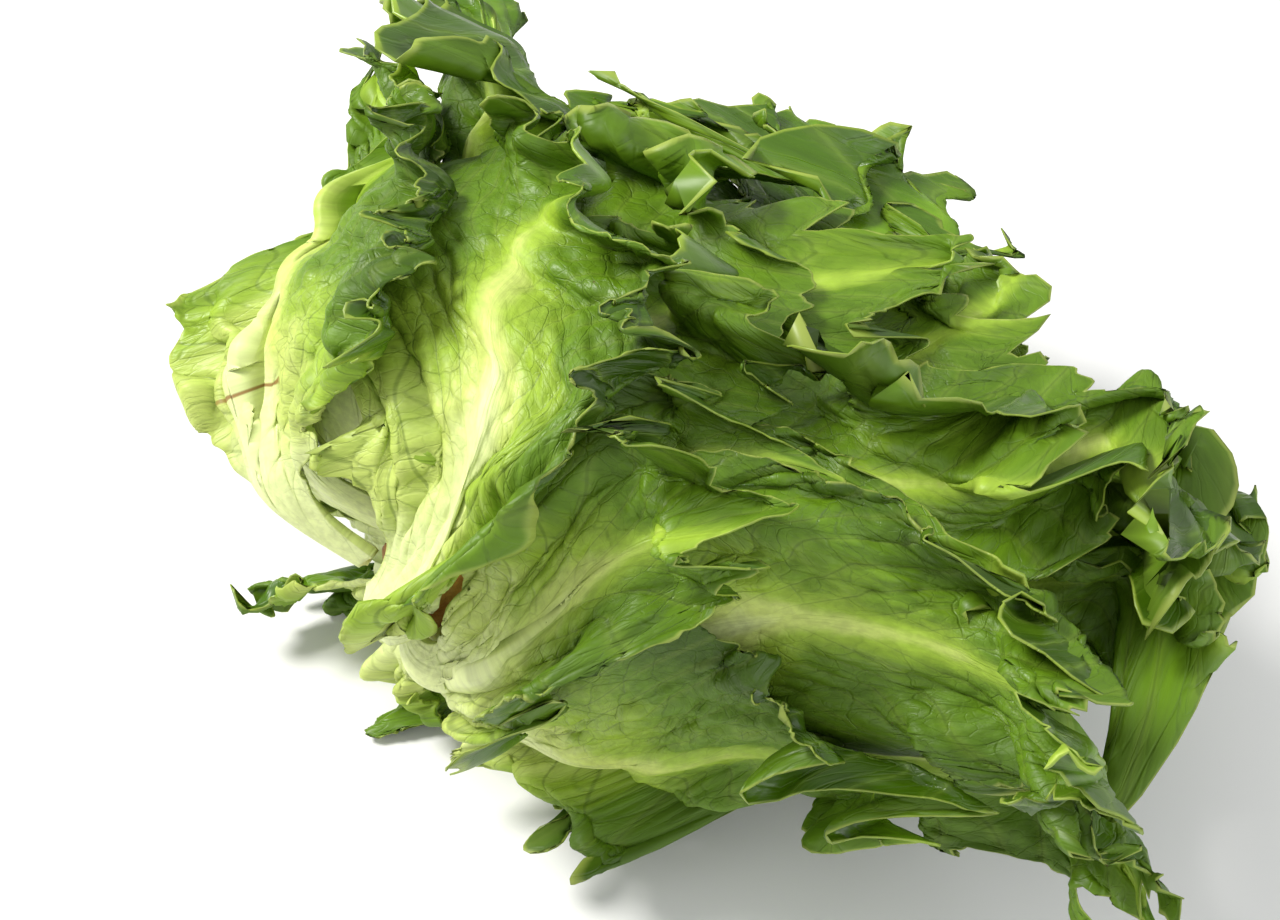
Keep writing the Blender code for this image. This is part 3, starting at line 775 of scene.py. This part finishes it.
def make_pieces():
    """Every fine leaf as a piece of its own; returns where the head stands in the frame."""
    low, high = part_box("stem")
    axis_z = 0.5 * (low[2] + high[2])
    shift = np.array([low[0] - STEM_CUT, 0.5 * (low[1] + high[1]), axis_z - AXIS_HEIGHT])
    outside = leaf_material("leaf_outside", OUTSIDE_TONES, 0.44, 0.20, linear(74, 104, 18), 0.55,
                            linear(196, 210, 104), 0.45)
    inside = leaf_material("leaf_inside", INSIDE_TONES, 0.33, 0.16, linear(128, 164, 52), 0.40,
                           linear(176, 198, 76), 0.62)
    for number, leaf in enumerate(head_leaves()):
        outer = leaf.name.startswith("outer")
        if outer:
            columns, rows = OUTER_GRID
        else:
            columns, rows = INNER_GRID if number >= HIDDEN_LEAVES else HIDDEN_GRID
        fine = fine_leaf(leaf, number, columns, rows)
        fine["points"] = fine["points"] + shift
        fine["points"] = near_box(fine["points"])
        mesh = grid_mesh(leaf.name + "_leaf", fine)
        mesh.materials.append(inside)
        mesh.materials.append(outside)
        piece = bpy.data.objects.new(leaf.name + "_leaf", mesh)
        bpy.context.collection.objects.link(piece)
        group = piece.vertex_groups.new(name="thickness")
        most = float(fine["thick"].max())
        share = np.round(fine["thick"].ravel() / most, 2)
        for value in np.unique(share):
            group.add(np.nonzero(share == value)[0].tolist(), float(value), "REPLACE")
        shell = piece.modifiers.new("thickness", "SOLIDIFY")
        shell.thickness = most
        shell.offset = -1.0
        shell.vertex_group = "thickness"
        shell.material_offset = 1
        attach(piece, "root")
        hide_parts(leaf.name)
    return shift


def make_stem(shift):
    """The stem: rings of points with a worn rim and slight lumps."""
    around = 96
    worn_rim = [0.0, 0.0, 0.0, 0.0003, 0.0012]
    xs = STEM_CUT + np.concatenate([worn_rim, np.linspace(0.003, STEM_LENGTH - STEM_CUT, 30)])
    shares = np.concatenate([[0.02, 0.45, 0.88, 0.95, 1.0], np.ones(30)])
    theta = np.linspace(0.0, 2 * math.pi, around, endpoint=False)[None, :]
    rng = np.random.default_rng(7)
    lumps = 1.0 - 0.010 * (1.0 + ripples(rng, 0.02 * theta, xs[:, None], 0.02, 5))
    radius = stem_radius(xs)[:, None] * shares[:, None] * lumps
    dip = 0.0006 * np.exp(-(shares[:, None] / 0.6) ** 2) * (xs[:, None] < STEM_CUT + 0.0005)
    ring = np.stack([xs[:, None] + dip + 0.0 * theta, radius * np.sin(theta),
                     radius * np.cos(theta) + AXIS_HEIGHT], axis=-1) + shift
    verts = ring.reshape(-1, 3).tolist()
    faces = []
    for i in range(len(xs) - 1):
        for j in range(around):
            k = (j + 1) % around
            faces.append((i * around + j, i * around + k, (i + 1) * around + k, (i + 1) * around + j))
    faces.append(tuple(range(around))[::-1])
    faces.append(tuple(range((len(xs) - 1) * around, len(xs) * around)))
    mesh = bpy.data.meshes.new("stem_core")
    mesh.from_pydata(verts, [], faces)
    mesh.validate()
    mesh.shade_smooth()
    mesh.materials.append(stem_material())
    piece = bpy.data.objects.new("stem_core", mesh)
    bpy.context.collection.objects.link(piece)
    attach(piece, "root")
    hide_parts("stem")


# ------------------------------------------------------------------ floor, light and camera

def make_setting(shift):
    """Floor, two soft lamps, pale surroundings and the camera."""
    material, node, link = shader_kit("floor_pale")
    cloud = node("ShaderNodeTexNoise")
    cloud.inputs["Scale"].default_value = 3.0
    tint = ramp(node, [(0.0, (0.86, 0.86, 0.85)), (1.0, (0.90, 0.90, 0.89))])
    link(cloud.outputs["Fac"], tint.inputs[0])
    skin = node("ShaderNodeBsdfPrincipled")
    skin.inputs["Roughness"].default_value = 0.8
    link(tint.outputs[0], skin.inputs["Base Color"])
    out = node("ShaderNodeOutputMaterial")
    link(skin.outputs[0], out.inputs["Surface"])
    bpy.ops.mesh.primitive_plane_add(size=12.0, location=(0.0, 0.0, 0.0))
    floor = bpy.context.object
    floor.name = "floor"
    floor.data.materials.append(material)

    def area(name, where, size, power, colour):
        data = bpy.data.lights.new(name, "AREA")
        data.shape = "DISK"
        data.size = size
        data.energy = power
        data.color = colour
        lamp = bpy.data.objects.new(name, data)
        bpy.context.collection.objects.link(lamp)
        lamp.location = where
        lamp.rotation_euler = (Vector((0.0, 0.0, 0.05)) - Vector(where)).to_track_quat("-Z", "Y").to_euler()

    area("key", (-0.75, 0.55, 1.25), 0.50, 26.0, (1.0, 0.985, 0.95))
    area("fill", (0.9, -1.1, 0.9), 1.2, 8.0, (0.95, 0.98, 1.0))
    world = bpy.data.worlds.new("studio")
    bpy.context.scene.world = world
    world.use_nodes = True
    world.node_tree.nodes["Background"].inputs[0].default_value = (1.0, 1.0, 1.0, 1.0)
    world.node_tree.nodes["Background"].inputs[1].default_value = 0.66
    bpy.context.scene.view_settings.view_transform = "Standard"

    a, e = math.radians(CAMERA_AZIMUTH), math.radians(CAMERA_ELEVATION)
    right = Vector((math.cos(a), math.sin(a), 0.0))
    up = Vector((-math.sin(a) * math.sin(e), math.cos(a) * math.sin(e), math.cos(e)))
    back = Vector((math.sin(a) * math.cos(e), -math.cos(a) * math.cos(e), math.sin(e)))
    data = bpy.data.cameras.new("camera")
    data.lens = CAMERA_LENS
    data.clip_start = 0.01
    camera = bpy.data.objects.new("camera", data)
    bpy.context.collection.objects.link(camera)
    stem = Vector((0.0, 0.0, AXIS_HEIGHT)) + Vector(shift.tolist())
    middle = stem - right * STEM_IN_VIEW[0] - up * STEM_IN_VIEW[1]
    distance = METRES_ACROSS / 2 / (18.0 / CAMERA_LENS)
    camera.location = middle + back * distance
    camera.rotation_euler = (-back).to_track_quat("-Z", "Y").to_euler()
    bpy.context.scene.camera = camera


shift = make_pieces()
make_stem(shift)
make_setting(shift)
